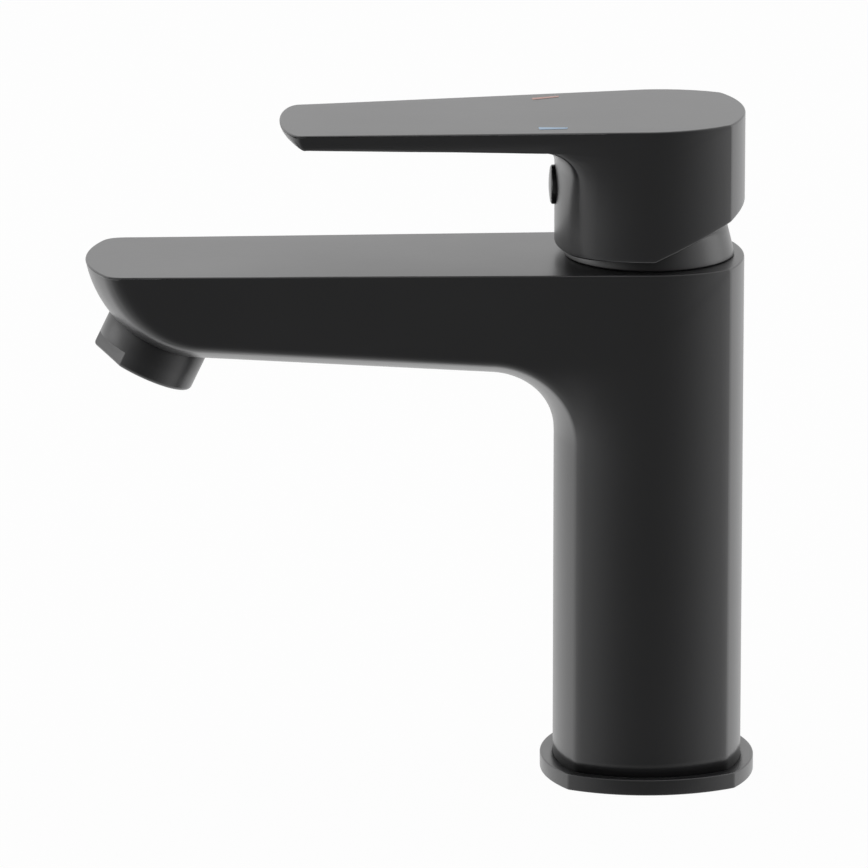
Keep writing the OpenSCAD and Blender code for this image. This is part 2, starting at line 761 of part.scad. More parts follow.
body();
base_flange();
base_seal();
port_seals();
cartridge_base();
disc_seals();
fixed_disc();
moving_disc();
disc_carrier();
rotor();
spindle_pin();
spindle();
cartridge_housing();
housing_seal();
cartridge_nut();
temperature_limit_ring();
dome_gasket();
cover_dome();
handle();
handle_grub_screw();
index_plug();
aerator_housing();
aerator_insert();
aerator_screen();
aerator_gasket();
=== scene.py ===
"""Visual model of a single-lever basin mixer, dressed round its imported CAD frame."""

import json
import math

import bmesh
import bpy
import numpy as np
from mathutils import Euler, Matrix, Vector


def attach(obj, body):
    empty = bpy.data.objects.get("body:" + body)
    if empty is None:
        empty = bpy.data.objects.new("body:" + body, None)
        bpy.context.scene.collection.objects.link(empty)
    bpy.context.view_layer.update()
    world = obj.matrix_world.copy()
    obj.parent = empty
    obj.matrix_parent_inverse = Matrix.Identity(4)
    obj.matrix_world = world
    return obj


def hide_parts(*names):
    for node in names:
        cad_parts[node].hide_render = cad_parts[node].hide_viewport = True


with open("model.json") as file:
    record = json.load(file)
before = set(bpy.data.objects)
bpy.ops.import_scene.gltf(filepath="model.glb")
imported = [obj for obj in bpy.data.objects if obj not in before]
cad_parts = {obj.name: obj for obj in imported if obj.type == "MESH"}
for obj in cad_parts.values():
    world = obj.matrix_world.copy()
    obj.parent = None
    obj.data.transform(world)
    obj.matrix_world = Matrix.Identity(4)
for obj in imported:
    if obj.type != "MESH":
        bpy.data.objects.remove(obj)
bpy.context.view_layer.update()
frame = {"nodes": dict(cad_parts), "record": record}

MM = 0.001

# ---------------------------------------------------------------- sizes, in millimetres
# Most are those of the CAD solids that the surfaces replace, in the CAD frame. The roundings are not.
BODY_TOP_Z = 135.0
CORNER_X = 19.2  # upright corner edges of the column and of the hub
COLUMN_CORNER_Y = 19.0
COLUMN_SIDE_BOW = 5.8  # how far the column's sides bow out between its corners
END_BOW = 4.8  # how far the column's and the hub's fronts and rears bow out
COLUMN_FOOT_Z = 4.1
SPOUT_HALF_Y = 24.8  # at the column's axis
SPOUT_TAPER = 0.018  # loss of half width for each millimetre towards the nose
NOSE = np.array([-112.5, 140.7])  # turning centre of the nose, x and z
NOSE_R = 30.5
NOSE_BOW = 5.8  # how far the nose and the spout's underside bow out in the middle
NOSE_CORNER_R = 3.4  # rounding of the nose's corners at the rim
NOSE_CORNER_LOW_Z = 112.0  # between these heights it takes over from the next rounding
NOSE_CORNER_HIGH_Z = 128.0
BODY_EDGE_R = 1.3  # rounding of the body's other long edges
RIM_FADE = 8.0  # depth below the rim over which the rounding takes its slope, so that the rim stays level
SLOPE = math.radians(3.3)  # of the spout's underside
UNDERSIDE_MID_X = -75.0  # where the arcs across the underside are drawn for
THROAT = np.array([-41.0, 89.0])  # centre of the curve from spout to column, x and z
THROAT_R = 17.0
THROAT_HALF_Y = 22.0  # half width that the arcs across the throat are drawn for
BLEND_LOW_Z = 84.0  # the spout's straight sides blend into the column's between these heights
BLEND_HIGH_Z = 112.0
MOUTH_R = 20.05  # the cartridge's well, from its mouth down
WELL_R = 19.0
WELL_LEDGE_Z = 126.0
WELL_FLOOR_Z = 103.0
SPIGOT_R = 19.5  # the ring that enters the flange
SPIGOT_FOOT_Z = 1.6
CHAMBER_R = 17.5  # the hoses' chamber in the column
CHAMBER_TOP_Z = 92.0

BOSS_ROOT = 2.0  # how far the bosses enter the chamber's roof
BOSS_CHAMFER = 0.4
THREAD_CHAMFER = 0.5
DRILL_TIP = 1.0
# each boss: x, y, height of its foot, its radius, its thread's radius and depth
BOSSES = ((-3.0, 8.5, 46.0, 6.8, 4.5, 12.0),
          (-3.0, -8.5, 46.0, 6.8, 4.5, 12.0),
          (10.5, 0.0, 30.0, 5.5, 3.4, 20.0))

HANDLE_TOP_Z = 171.8  # on the lever's axis of turn
HANDLE_FALL = 0.02  # the top falls by this much for each millimetre towards the tip
HANDLE_MID_X = -30.0
HUB_CORNER_Y = 19.5
HUB_SIDE_BOW = 5.9
HUB_FOOT_Z = 138.2
HUB_CUT_RISE = math.tan(math.radians(25.0))
LEVER_HALF_Y = 25.4  # at the lever's axis of turn
LEVER_TAPER = 0.0772  # loss of half width for each millimetre towards the tip
LEVER_UNDER_Z = 166.1
LEVER_UNDER_HALF_Y = 20.0  # half width that the arcs across it are drawn for
LEVER_BOW = 1.2  # how far the lever's underside bows down in the middle
LEVER_TIP_X = -93.3
LEVER_TIP_BOW = 4.9  # the tip's plan is half an ellipse this long
TIP_ROLL = 5.8  # how far the middle of the tip's front curves back under the lever
TIP_SIDE_ROLL = 1.8  # and how far its sides do
TIP_ROLL_EVEN = 0.3  # share of the half width that keeps the middle's curve
LEVER_EDGE_R = 1.1  # rounding of the lever's lower edges
HUB_CORNER_R = 4.6  # rounding of the hub's front corners
HUB_CORNER_LOW_Z = 154.0  # between these heights it gives way to the lever's rounding
HUB_CORNER_HIGH_Z = 165.0
HUB_REAR_R = 0.9
LEVER_THROAT = np.array([-30.5, 158.4])  # centre of the curve from lever to hub, x and z
LEVER_THROAT_R = 6.5
HUB_BLEND_LOW_Z = 144.0  # the lever's straight sides blend into the hub's between these heights
HUB_BLEND_HIGH_Z = 170.0
PIVOT_Z = 128.0
HOLLOW_R = 24.6

MARK_PROUD = 0.06
MARK_SUNK = 0.2
# each mark: its side, then its inner and its outer edge as (x, distance from the middle plane)
MARKS = {
    "hot_mark": (1.0, ((-28.8, 16.4), (-22.1, 18.7)), ((-28.9, 18.4), (-21.9, 20.2))),
    "cold_mark": (-1.0, ((-28.9, 15.9), (-21.6, 17.1)), ((-28.7, 18.6), (-21.8, 18.6))),
}

DOME_R = 21.6
DOME_FOOT_ROUND = 0.5
DOME_TOP_Z = 146.0
DOME_SHOULDER_Z = 142.0
DOME_ROUND_R = 24.3
DOME_LEAN = math.tan(math.radians(14.0))
DOME_WALL = 1.0
DOME_SPIGOT_R = 20.0  # the ring that enters the body
DOME_SPIGOT_IN_R = 18.0
DOME_SPIGOT_Z = 133.8
DOME_FLOOR_Z = 136.6
DOME_INSIDE = (19.2, 137.0)  # where its inside starts, as radius and height

PLUG_Z = 153.0
PLUG_R = 5.0
PLUG_BACK_X = -21.0
PLUG_FACE_X = -25.5
PLUG_ROUND = 0.5
PLUG_ROUND_END = 0.3  # angle from its axis where the rim's rounding ends
PLUG_FACE_R = PLUG_R - 0.6

AERATOR_LEAN = math.radians(25.7)
COLLAR_R = 13.45
COLLAR_SHIFT = 0.45  # of the collar's centre from the aerator's axis, towards the column
COLLAR_TOP = 27.2  # distances along the aerator's axis from the nose's turning centre
COLLAR_OUT = 37.5
COLLAR_ROUND = 1.0
COLLAR_ROUND_TURN = (0.25, 1.57)  # angles between which its end is rounded
KEY_FLAT = 11.6  # distance of a key flat from the collar's centre
KEY_FLAT_H = 3.9
FLAT_REACH = 0.1  # least cosine at which a flat still cuts
KEY_FLATS = (90.0, 210.0)  # directions they face, in degrees about the aerator's axis
LIP_R = 9.2
LIP_H = 0.8
LIP_CHAMFER = 0.3
LIP_OVERHANG = 1.0  # over the bore behind it

FLANGE_HALF = 27.29  # at the middle of each bowed side
FLANGE_CORNER = 21.2  # the corners' x and y
FLANGE_H = 4.1
FLANGE_EDGE = 0.35
FLANGE_BORE_R = 19.6
SEAL_IN_R = 21.0  # the seal's groove
SEAL_OUT_R = 24.0
SEAL_H = 1.4

EDGE = 0.45  # rounding of the painted rims

# ---------------------------------------------------------------- camera
CAMERA_PLACE = (-142.31, -2319.35, 682.9)
CAMERA_TILT = 75.63  # degrees from looking straight down
CAMERA_TURN = -2.17  # degrees about +Z
CAMERA_LENS = 391.6
CAMERA_SENSOR = 36.0
CAMERA_REACH = 20.0  # metres


def make_camera():
    """A long lens from the side, looking slightly down."""
    data = bpy.data.cameras.new("camera")
    data.sensor_width = CAMERA_SENSOR
    data.lens = CAMERA_LENS
    data.clip_end = CAMERA_REACH
    camera = bpy.data.objects.new("camera", data)
    camera.location = [c * MM for c in CAMERA_PLACE]
    camera.rotation_euler = Euler((math.radians(CAMERA_TILT), 0.0, math.radians(CAMERA_TURN)))
    bpy.context.scene.collection.objects.link(camera)
    bpy.context.scene.camera = camera


# ---------------------------------------------------------------- nodes
def set_inputs(node, **values):
    """Sets or links a node's inputs by name, with underscores for spaces."""
    for name, value in values.items():
        socket = node.inputs[name.replace("_", " ")]
        if isinstance(value, bpy.types.NodeSocket):
            node.id_data.links.new(value, socket)
        else:
            socket.default_value = value


def math_node(tree, operation, a, b, clamp=False):
    """A math node on two numbers or sockets, as its output."""
    node = tree.nodes.new("ShaderNodeMath")
    node.operation = operation
    node.use_clamp = clamp
    for socket, value in zip(node.inputs, (a, b)):
        if isinstance(value, bpy.types.NodeSocket):
            tree.links.new(value, socket)
        else:
            socket.default_value = value
    return node.outputs[0]


def noise_node(tree, vector, scale, detail):
    """Noise between 0 and 1 over the vector."""
    node = tree.nodes.new("ShaderNodeTexNoise")
    set_inputs(node, Vector=vector, Scale=scale, Detail=detail)
    return node.outputs[0]


def map_range(tree, value, low, high, to_low, to_high, smooth=False):
    """Carries low..high over to to_low..to_high, clamped at both ends."""
    node = tree.nodes.new("ShaderNodeMapRange")
    node.interpolation_type = "SMOOTHSTEP" if smooth else "LINEAR"
    set_inputs(node, Value=value, From_Min=low, From_Max=high, To_Min=to_low, To_Max=to_high)
    return node.outputs[0]


# ---------------------------------------------------------------- studio
WORLD_FRONT = 0.15  # what glossy surfaces see of the studio behind the camera
WORLD_SIDES = 1.65
WORLD_BACK = 1.25
FRONT_TO_SIDES = (-1.05, -0.2)  # the Y parts of the directions between which one gives way to the next
SIDES_TO_BACK = (0.3, 0.95)
WORLD_FILL = 0.3  # what diffuse surfaces get from it


def make_world():
    """White for what the camera sees. Glossy rays see a dark room in front and a white backdrop behind."""
    scene = bpy.context.scene
    scene.view_settings.view_transform = "Standard"
    world = bpy.data.worlds.new("studio")
    scene.world = world
    world.use_nodes = True
    tree = world.node_tree
    tree.nodes.clear()
    out = tree.nodes.new("ShaderNodeOutputWorld")
    back = tree.nodes.new("ShaderNodeBackground")
    path = tree.nodes.new("ShaderNodeLightPath")
    coords = tree.nodes.new("ShaderNodeTexCoord")
    split = tree.nodes.new("ShaderNodeSeparateXYZ")
    tree.links.new(coords.outputs["Generated"], split.inputs[0])
    front = map_range(tree, split.outputs["Y"], *FRONT_TO_SIDES, WORLD_FRONT, WORLD_SIDES, smooth=True)
    rear = map_range(tree, split.outputs["Y"], *SIDES_TO_BACK, WORLD_SIDES, WORLD_BACK)
    room = math_node(tree, "MINIMUM", front, rear)
    glossy = math_node(tree, "MULTIPLY", path.outputs["Is Glossy Ray"], room)
    fill = math_node(tree, "MULTIPLY", path.outputs["Is Diffuse Ray"], WORLD_FILL)
    seen = math_node(tree, "MAXIMUM", path.outputs["Is Camera Ray"], path.outputs["Is Transmission Ray"])
    strength = math_node(tree, "MAXIMUM", seen, math_node(tree, "MAXIMUM", glossy, fill))
    set_inputs(back, Color=(1.0, 1.0, 1.0, 1.0), Strength=strength)
    tree.links.new(back.outputs[0], out.inputs["Surface"])


FLOOR_GLOW = 0.97  # share of the floor's brightness that takes no shadow, as the camera sees it
FLOOR_HALF = 6000.0
FLOOR_COLOR = (0.85, 0.85, 0.85, 1.0)


def make_floor():
    """A white floor that keeps the part's shadow and that reflections don't see."""
    mesh = bpy.data.meshes.new("floor")
    side = FLOOR_HALF * MM
    corners = [(-side, -side, 0.0), (side, -side, 0.0), (side, side, 0.0), (-side, side, 0.0)]
    mesh.from_pydata(corners, [], [(0, 1, 2, 3)])
    floor = bpy.data.objects.new("floor", mesh)
    bpy.context.scene.collection.objects.link(floor)
    material = bpy.data.materials.new("floor")
    material.use_nodes = True
    tree = material.node_tree
    tree.nodes.clear()
    out = tree.nodes.new("ShaderNodeOutputMaterial")
    diffuse = tree.nodes.new("ShaderNodeBsdfDiffuse")
    set_inputs(diffuse, Color=FLOOR_COLOR)
    glow = tree.nodes.new("ShaderNodeEmission")
    mix = tree.nodes.new("ShaderNodeMixShader")
    path = tree.nodes.new("ShaderNodeLightPath")
    glow_share = math_node(tree, "MULTIPLY", path.outputs["Is Camera Ray"], FLOOR_GLOW)
    tree.links.new(glow_share, mix.inputs["Fac"])
    tree.links.new(diffuse.outputs[0], mix.inputs[1])
    tree.links.new(glow.outputs[0], mix.inputs[2])
    # reflections look through the floor at the studio, which is dark in front of the part and bright
    # behind it, and so does a camera under the floor, which sees the part's underside
    through = tree.nodes.new("ShaderNodeBsdfTransparent")
    pick = tree.nodes.new("ShaderNodeMixShader")
    below = tree.nodes.new("ShaderNodeNewGeometry").outputs["Backfacing"]
    tree.links.new(math_node(tree, "MAXIMUM", path.outputs["Is Glossy Ray"], below), pick.inputs["Fac"])
    tree.links.new(mix.outputs[0], pick.inputs[1])
    tree.links.new(through.outputs[0], pick.inputs[2])
    tree.links.new(pick.outputs[0], out.inputs["Surface"])
    mesh.materials.append(material)


LIGHT_AIM = (-0.03, 0.0, 0.1)  # metres
# each light: its place and size in metres, and its power in watts
LIGHTS = {
    "top_softbox": ((0.0, 0.5, 1.6), (1.8, 1.6), 8.0),
    "left_softbox": ((-1.6, 0.2, 0.5), (0.9, 1.0), 4.0),
    "right_softbox": ((1.6, 0.2, 0.5), (0.9, 1.0), 4.0),
}


def make_light(name, place, size, power):
    """A rectangular softbox that faces the middle of the part."""
    data = bpy.data.lights.new(name, "AREA")
    data.shape = "RECTANGLE"
    data.size, data.size_y = size
    data.energy = power
    lamp = bpy.data.objects.new(name, data)
    lamp.location = place
    lamp.rotation_euler = (Vector(LIGHT_AIM) - Vector(place)).to_track_quat("-Z", "Y").to_euler()
    bpy.context.scene.collection.objects.link(lamp)


def make_lights():
    """One softbox overhead and one on each side, all towards the back."""
    for name, (place, size, power) in LIGHTS.items():
        make_light(name, place, size, power)


# ---------------------------------------------------------------- surface effects
def effect_group(name, inputs, outputs):
    """An empty node group with float inputs of the given defaults and outputs of the given types."""
    group = bpy.data.node_groups.new(name, "ShaderNodeTree")
    for label, value in inputs.items():
        socket = group.interface.new_socket(label, in_out="INPUT", socket_type="NodeSocketFloat")
        socket.default_value = value
    for label, kind in outputs.items():
        group.interface.new_socket(label, in_out="OUTPUT", socket_type=kind)
    return group, group.nodes.new("NodeGroupInput"), group.nodes.new("NodeGroupOutput")


COARSE_SCALE = 0.22  # of the coarser grain, for each unit of the fine grain's
COARSE_SHARE = 0.8
GRAIN_HEIGHT = 0.0002  # metres
DRIFT_SCALE = 22.0
RING_HEIGHT = 0.0001  # metres


def make_grain_group():
    """Grain of a sprayed or moulded surface: a normal bumped by fine and coarse noise, and a drift round one.

    The drift is 1 + Drift (slow noise - 0.5).
    """
    inputs = {"Grain": 900.0, "Depth": 0.05, "Drift": 0.1}
    outputs = {"Normal": "NodeSocketVector", "Drift": "NodeSocketFloat"}
    group, given, out = effect_group("surface_grain", inputs, outputs)
    coords = group.nodes.new("ShaderNodeTexCoord").outputs["Object"]
    fine = noise_node(group, coords, given.outputs["Grain"], 3.0)
    coarse_scale = math_node(group, "MULTIPLY", given.outputs["Grain"], COARSE_SCALE)
    coarse = noise_node(group, coords, coarse_scale, 1.0)
    height = math_node(group, "ADD", fine, math_node(group, "MULTIPLY", coarse, COARSE_SHARE))
    bump = group.nodes.new("ShaderNodeBump")
    set_inputs(bump, Strength=given.outputs["Depth"], Distance=GRAIN_HEIGHT, Height=height)
    slow = noise_node(group, coords, DRIFT_SCALE, 3.0)
    swing = math_node(group, "MULTIPLY", math_node(group, "SUBTRACT", slow, 0.5), given.outputs["Drift"])
    group.links.new(bump.outputs[0], out.inputs["Normal"])
    group.links.new(math_node(group, "ADD", swing, 1.0), out.inputs["Drift"])
    return group


def make_turned_group():
    """Rings left by a lathe: a bumped normal from slightly distorted waves along Z."""
    inputs = {"Pitch": 2200.0, "Depth": 0.15}
    group, given, out = effect_group("turned_rings", inputs, {"Normal": "NodeSocketVector"})
    coords = group.nodes.new("ShaderNodeTexCoord").outputs["Object"]
    wave = group.nodes.new("ShaderNodeTexWave")
    wave.bands_direction = "Z"
    set_inputs(wave, Vector=coords, Scale=given.outputs["Pitch"], Distortion=1.5, Detail=2.0)
    bump = group.nodes.new("ShaderNodeBump")
    set_inputs(bump, Strength=given.outputs["Depth"], Distance=RING_HEIGHT, Height=wave.outputs["Fac"])
    group.links.new(bump.outputs[0], out.inputs["Normal"])
    return group


def tinted(tree, color, factor):
    """A colour scaled by a factor that varies over the surface."""
    node = tree.nodes.new("ShaderNodeVectorMath")
    node.operation = "SCALE"
    node.inputs[0].default_value = color
    tree.links.new(factor, node.inputs["Scale"])
    return node.outputs[0]


GRAIN = make_grain_group()
TURNED = make_turned_group()


def make_material(name, color, roughness, grain=900.0, depth=0.1, drift=0.12, metallic=0.0, sheen=0.0,
                  turned=False):
    """A painted, moulded or turned finish.

    Colour and roughness are multiplied by the drift, and the normal carries the grain or the lathe's rings.
    """
    material = bpy.data.materials.new(name)
    material.use_nodes = True
    tree = material.node_tree
    bsdf = tree.nodes["Principled BSDF"]
    effect = tree.nodes.new("ShaderNodeGroup")
    effect.node_tree = GRAIN
    set_inputs(effect, Grain=grain, Depth=depth, Drift=drift)
    drift_out = effect.outputs["Drift"]
    normal = effect.outputs["Normal"]
    if turned:
        rings = tree.nodes.new("ShaderNodeGroup")
        rings.node_tree = TURNED
        normal = rings.outputs["Normal"]
    rough = math_node(tree, "MULTIPLY", drift_out, roughness, clamp=True)
    set_inputs(bsdf, Base_Color=tinted(tree, color, drift_out), Roughness=rough, Normal=normal)
    set_inputs(bsdf, Metallic=metallic, IOR=1.5, Sheen_Weight=sheen)
    return material


FINISHES = {
    "black_paint": dict(color=(0.0185, 0.0185, 0.0195), roughness=0.34, grain=1100.0, depth=0.05, drift=0.16),
    "black_plastic": dict(color=(0.02, 0.02, 0.021), roughness=0.3, grain=700.0, depth=0.06),
    "black_rubber": dict(color=(0.028, 0.028, 0.028), roughness=0.62, grain=600.0, depth=0.15, sheen=0.1),
    "red_rubber": dict(color=(0.35, 0.05, 0.04), roughness=0.55, grain=600.0, depth=0.12),
    "white_plastic": dict(color=(0.82, 0.82, 0.8), roughness=0.4, grain=500.0, depth=0.08),
    "ivory_plastic": dict(color=(0.78, 0.74, 0.62), roughness=0.4, grain=500.0, depth=0.08),
    "red_plastic": dict(color=(0.6, 0.05, 0.04), roughness=0.4, grain=500.0, depth=0.08),
    "grey_plastic": dict(color=(0.45, 0.45, 0.46), roughness=0.42, grain=500.0, depth=0.1),
    "ceramic": dict(color=(0.88, 0.88, 0.86), roughness=0.12, grain=1500.0, depth=0.02),
    "brass": dict(color=(0.72, 0.55, 0.27), roughness=0.28, metallic=1.0, turned=True),
    "steel": dict(color=(0.6, 0.6, 0.6), roughness=0.3, metallic=1.0, turned=True),
    "hot_mark": dict(color=(0.55, 0.32, 0.28), roughness=0.5, grain=900.0, depth=0.08),
    "cold_mark": dict(color=(0.36, 0.5, 0.66), roughness=0.5, grain=900.0, depth=0.08),
}
MATERIALS = {name: make_material(name, **finish) for name, finish in FINISHES.items()}


# ---------------------------------------------------------------- meshes
CROWDING = 0.8  # share of the curve in the spacing of fine ends
LEAD = 3  # cells from an edge to the points that give a face's direction
LINE_FINER = 8  # points for each of an edge's, where distances to it are measured


def smoothstep(value, low, high):
    """0 below low and 1 above high, with 3 t^2 - 2 t^3 between them."""
    t = np.clip((value - low) / (high - low), 0.0, 1.0)
    return t * t * (3.0 - 2.0 * t)


def crown(t, half, bow):
    """Height of an arc over its chord, from bow at t = 0 to nothing at t = 1, where half is half the chord.

    It is sqrt(R^2 - (t half)^2) - (R - bow), with R = (half^2 + bow^2) / (2 bow).
    """
    radius = (half**2 + bow**2) / (2.0 * bow)
    return np.sqrt(radius**2 - (t * half) ** 2) - (radius - bow)


def lerp(a, b, t):
    """Straight from a at t = 0 to b at t = 1."""
    return a + (b - a) * t


def fine_end(t):
    """Spaces points more closely towards t = 1, along a quarter of a sine."""
    return lerp(t, np.sin(t * math.pi / 2), CROWDING)


def fine_ends(t):
    """Spaces points more closely towards both ends, along half a cosine."""
    return lerp(t, 0.5 - 0.5 * np.cos(t * math.pi), CROWDING)


def unit(vectors):
    """Vectors divided by their lengths."""
    return vectors / np.linalg.norm(vectors, axis=-1, keepdims=True)


def along_side(edge, way, half_y):
    """Unit directions on the side surface y = half_y(x, z) from an edge, given their x and z parts."""
    way = unit(way)
    ahead = half_y(edge[:, 0] + way[:, 0], edge[:, 2] + way[:, 1]) - half_y(edge[:, 0], edge[:, 2])
    return unit(np.stack([way[:, 0], ahead, way[:, 1]], axis=-1))


def beside(edge, half_y):
    """Directions that lead away from an edge of the front strip, square to it, into the side."""
    along = np.gradient(edge, axis=0)
    return along_side(edge, np.stack([-along[:, 2], along[:, 0]], axis=-1), half_y)


def round_edge(grids, edge, push, radius):
    """Rounds a sharp edge.

    Points nearer to it than the radius move along push by radius (1 - gap / radius)^2 / 4, where push is
    the sum of the two unit directions that lead away from the edge into its faces.
    """
    count = np.arange(len(edge))
    dense = np.linspace(0.0, len(edge) - 1.0, LINE_FINER * len(edge))
    line = np.stack([np.interp(dense, count, edge[:, k]) for k in range(3)], axis=-1)
    push = np.stack([np.interp(dense, count, push[:, k]) for k in range(3)], axis=-1)
    radius = np.interp(dense, count, radius)
    rounded = []
    for grid in grids:
        gap = np.linalg.norm(grid[..., None, :] - line, axis=-1)
        nearest = gap.argmin(axis=-1)
        reach = np.maximum(radius[nearest], 1e-6)
        rest = 1.0 - np.minimum(gap.min(axis=-1) / reach, 1.0)
        rounded.append(grid + (reach * rest**2 / 4.0)[..., None] * push[nearest])
    return rounded


def mirrored(grid):
    """The grid's mirror image on the other side of the XZ plane."""
    return grid * np.array([1.0, -1.0, 1.0])


def coons(low, high, left, right):
    """Grid of points inside four joined boundary curves, by blending them bilinearly (a Coons patch)."""
    u = np.linspace(0.0, 1.0, len(low))[:, None, None]
    v = np.linspace(0.0, 1.0, len(left))[None, :, None]
    across = lerp(low[:, None], high[:, None], v) + lerp(left[None], right[None], u)
    corners = lerp(lerp(low[0], high[0], v), lerp(low[-1], high[-1], v), u)
    return across - corners


WELD = 0.002  # points closer than this are one


def build(name, grids, material, body):
    """One closed mesh from grids of points in millimetres, joined where they meet, facing outwards."""
    points = np.concatenate([g.reshape(-1, 3) for g in grids]) * MM
    faces = []
    start = 0
    for grid in grids:
        index = start + np.arange(grid.shape[0] * grid.shape[1]).reshape(grid.shape[:2])
        cells = [index[:-1, :-1], index[1:, :-1], index[1:, 1:], index[:-1, 1:]]
        faces.append(np.stack(cells, axis=-1).reshape(-1, 4))
        start += index.size
    mesh = bpy.data.meshes.new(name)
    mesh.from_pydata(points.tolist(), [], np.concatenate(faces).tolist())
    work = bmesh.new()
    work.from_mesh(mesh)
    bmesh.ops.remove_doubles(work, verts=work.verts, dist=WELD * MM)
    bmesh.ops.dissolve_degenerate(work, edges=work.edges, dist=WELD * MM * 0.5)
    bmesh.ops.recalc_face_normals(work, faces=work.faces)
    work.to_mesh(mesh)
    work.free()
    mesh.shade_smooth()
    mesh.materials.append(material)
    piece = bpy.data.objects.new(name, mesh)
    bpy.context.scene.collection.objects.link(piece)
    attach(piece, body)
    return piece


def ring(radius, angles, height):
    """Points round the Z axis, where the radius is one number or one for each angle."""
    return np.stack(np.broadcast_arrays(radius * np.cos(angles), radius * np.sin(angles), height), axis=-1)


def lathe(profile, angles):
    """A surface about the Z axis: rows follow the (radius, height) profile, columns the angles."""
    return np.stack([ring(radius, angles, height) for radius, height in profile])


def turn(steps):
    """Angles of a whole turn, where the last is the first again."""
    return np.linspace(0.0, 2.0 * math.pi, steps + 1)


def on_axis(grid, origin, axis):
    """Moves a grid made about +Z so that its Z axis lies along axis, through origin."""
    matrix = np.array(Vector(axis).to_track_quat("Z", "Y").to_matrix())
    return grid @ matrix.T + np.array(origin)


NEAR = 0.01  # a vertex this close to a loop's point belongs to it


def round_edges(piece, loops, width=EDGE):
    """Bevels the edges between neighbouring points of the loops, in three steps."""
    points = np.zeros(len(piece.data.vertices) * 3)
    piece.data.vertices.foreach_get("co", points)
    points = points.reshape(-1, 1, 3) / MM
    near = np.linalg.norm(points - np.concatenate(loops), axis=-1).min(axis=-1) < NEAR
    piece.vertex_groups.new(name="edges").add(np.flatnonzero(near).tolist(), 1.0, "REPLACE")
    bevel = piece.modifiers.new("edges", "BEVEL")
    bevel.width = width * MM
    bevel.segments = 3
    bevel.limit_method = "VGROUP"
    bevel.vertex_group = "edges"
    bevel.use_clamp_overlap = False


def even_normals(piece):
    """Lets the large faces lead the shading, so that flat faces look flat beside their roundings."""
    weigh = piece.modifiers.new("normals", "WEIGHTED_NORMAL")
    weigh.keep_sharp = True
    weigh.weight = 100


def ring_rows(outer, inner, rows):
    """Rings of points between a loop and another of the same count."""
    t = np.linspace(0.0, 1.0, rows + 1)[:, None, None]
    return lerp(outer[None], inner[None], t)


def directions(loop):
    """Angles about the Z axis of the loop's points."""
    return np.arctan2(loop[:, 1], loop[:, 0])


def whole_loop(half):
    """Closes a half loop, whose ends lie in the XZ plane, with its mirror image."""
    return np.concatenate([half, mirrored(half)[::-1][1:]])


def rim_and_foot(strip, side, rear, top_count):
    """Whole loops round the top and round the foot of a skin of a front strip, two sides and a rear."""
    high = side[:, -1]
    rim = whole_loop(np.concatenate([strip[0], high[1:top_count], rear[0][1:]]))
    foot = whole_loop(np.concatenate([strip[-1], side[-1][1:], rear[-1][1:]]))
    return rim, foot


# ---------------------------------------------------------------- body
ACROSS = 18  # cells from the middle plane to an edge
NOSE_SHARE = 0.69  # share of the nose's turn that bounds the side's left end
UP_SIDE = 22  # cells of that share
NOSE_LOW = 10  # cells of the rest of the turn
SPOUT_CELLS = 26
FAN_TOP = 18  # cells of the throat that face the top, and the rear
FAN_REAR = 8
FAN_LOW_Z = 112.0  # on the rear, where the throat's cells end
COLUMN_CELLS = 26


def body_half_y(x, z):
    """The column's sides are arcs in plan, the spout's are straight and taper; they blend over the throat."""
    arc = COLUMN_CORNER_Y + crown(np.minimum(np.abs(x), CORNER_X) / CORNER_X, CORNER_X, COLUMN_SIDE_BOW)
    straight = SPOUT_HALF_Y + SPOUT_TAPER * x
    share = smoothstep(z, BLEND_LOW_Z, BLEND_HIGH_Z) * (x < 0)
    return lerp(arc, straight, share)


def nose_rows(s):
    """Arcs about the nose's turning centre, from the rim down to the underside; x and z."""
    t = np.concatenate([NOSE_SHARE * fine_ends(np.linspace(0.0, 1.0, UP_SIDE + 1)),
                        np.linspace(NOSE_SHARE, 1.0, NOSE_LOW + 1)[1:]])[:, None]
    nose_half = SPOUT_HALF_Y + SPOUT_TAPER * NOSE[0]
    radius = NOSE_R - NOSE_BOW + crown(s, nose_half, NOSE_BOW)
    first = np.arcsin((NOSE[1] - BODY_TOP_Z) / radius)
    angle = lerp(first, math.pi / 2 - SLOPE, t)
    return np.stack([NOSE[0] - radius * np.cos(angle), NOSE[1] - radius * np.sin(angle)], axis=-1)


def underside_rows(s):
    """Straight lines from the nose's arc to the throat's, square to both ends; x and z."""
    down = np.array([-math.sin(SLOPE), -math.cos(SLOPE)])
    start = NOSE + NOSE_R * down
    end = THROAT - THROAT_R * down
    t = np.linspace(0.0, 1.0, SPOUT_CELLS + 1)[1:, None, None]
    bow = crown(s, SPOUT_HALF_Y + SPOUT_TAPER * UNDERSIDE_MID_X, NOSE_BOW)
    return lerp(start, end, t) - (NOSE_BOW - bow)[..., None] * down


def throat_rows(s):
    """Arcs about the throat's centre, from the underside round to the column; x and z."""
    t = np.linspace(0.0, 1.0, FAN_TOP + FAN_REAR + 1)[1:, None]
    angle = lerp(SLOPE, math.pi / 2, t)
    bow = lerp(NOSE_BOW, END_BOW, t)
    reach = THROAT_R + bow * (1.0 - crown(s, THROAT_HALF_Y, NOSE_BOW) / NOSE_BOW)
    return np.stack([THROAT[0] + reach * np.sin(angle), THROAT[1] + reach * np.cos(angle)], axis=-1)


def column_rows(s):
    """Level arcs down the column's front; x and z."""
    z = np.linspace(THROAT[1], COLUMN_FOOT_Z, COLUMN_CELLS + 1)[1:, None]
    front_x = -CORNER_X - crown(s, COLUMN_CORNER_Y, END_BOW)
    return np.stack(np.broadcast_arrays(front_x, z), axis=-1)


